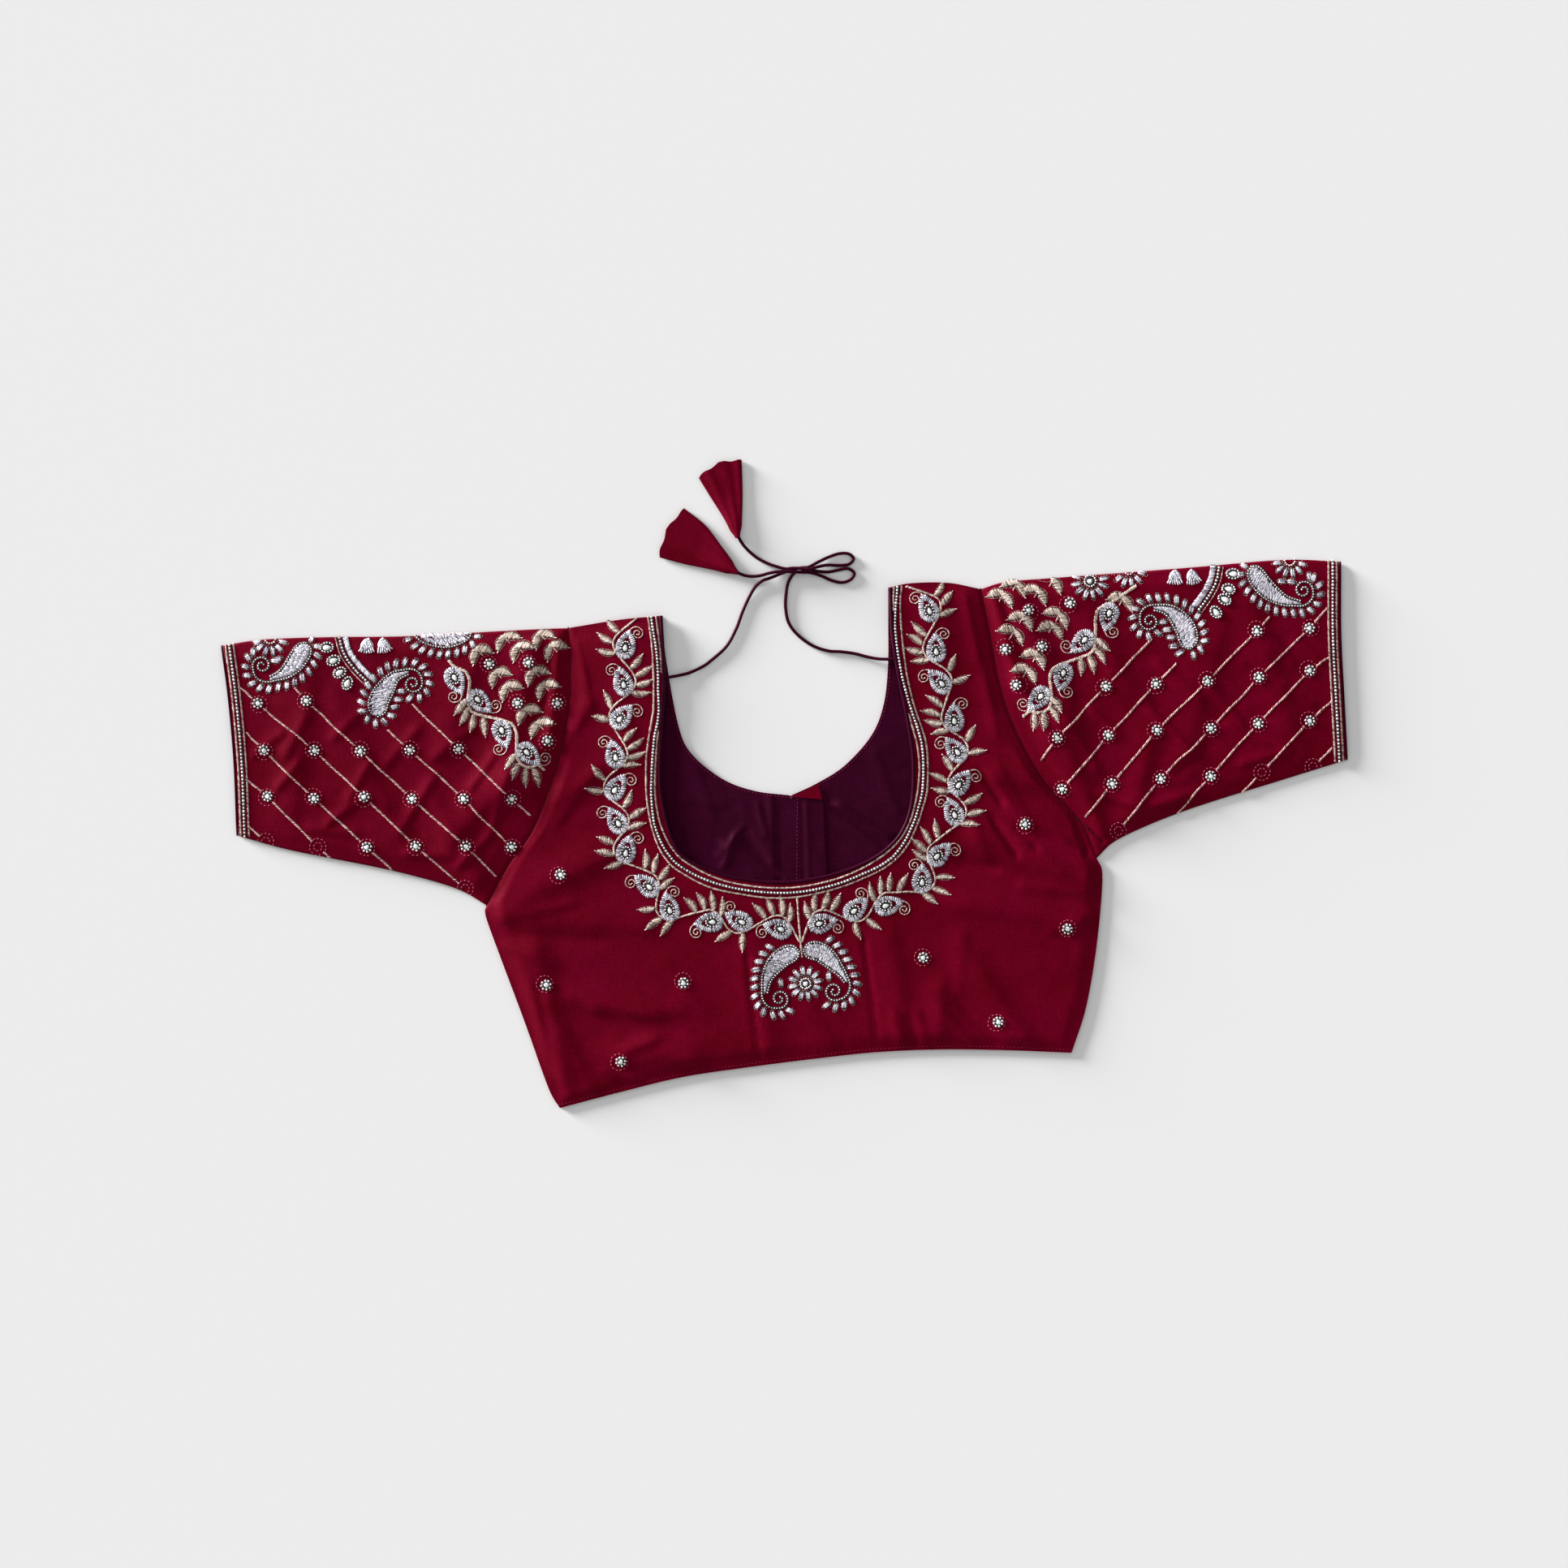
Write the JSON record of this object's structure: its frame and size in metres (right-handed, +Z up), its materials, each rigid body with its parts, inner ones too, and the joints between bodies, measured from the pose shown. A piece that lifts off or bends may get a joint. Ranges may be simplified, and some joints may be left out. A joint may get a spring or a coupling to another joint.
{
  "type": "choli blouse",
  "caption": "Cropped choli blouse laid flat, back up: deep round back neck, elbow sleeves, beaded borders, tie cords knotted in a bow with cloth tassels.",
  "frame": {"origin": "middle of the blouse's outline on the surface that it lies on, without the tie cords and their tassels", "axes": "+X along the sleeves to the right as seen from above, +Y from hem to neck, +Z up out of the surface; the back is uppermost"},
  "size_m": [0.8328, 0.4627, 0.0085],
  "materials": {
    "maroon_silk": "raw silk, matt with a soft sheen",
    "dark_lining": "plain dark lining cloth",
    "silk_piping": "dark bias piping",
    "bead_border": "glass beads and metal thread on cloth",
    "silk_cord": "dark rolled cloth cord"
  },
  "bodies": {
    "root": {"front_left": "maroon_silk", "front_right": "maroon_silk", "back": "maroon_silk", "sleeve_left": "maroon_silk", "sleeve_right": "maroon_silk", "tassel_upper": "maroon_silk", "tassel_lower": "maroon_silk", "lining_left": "dark_lining", "lining_right": "dark_lining", "hook_placket": "dark_lining", "neck_piping": "silk_piping", "cuff_piping_left": "silk_piping", "cuff_piping_right": "silk_piping", "neck_border": "bead_border", "cuff_border_left": "bead_border", "cuff_border_right": "bead_border", "dori_left": "silk_cord", "dori_right": "silk_cord"}
  },
  "joints": []
}
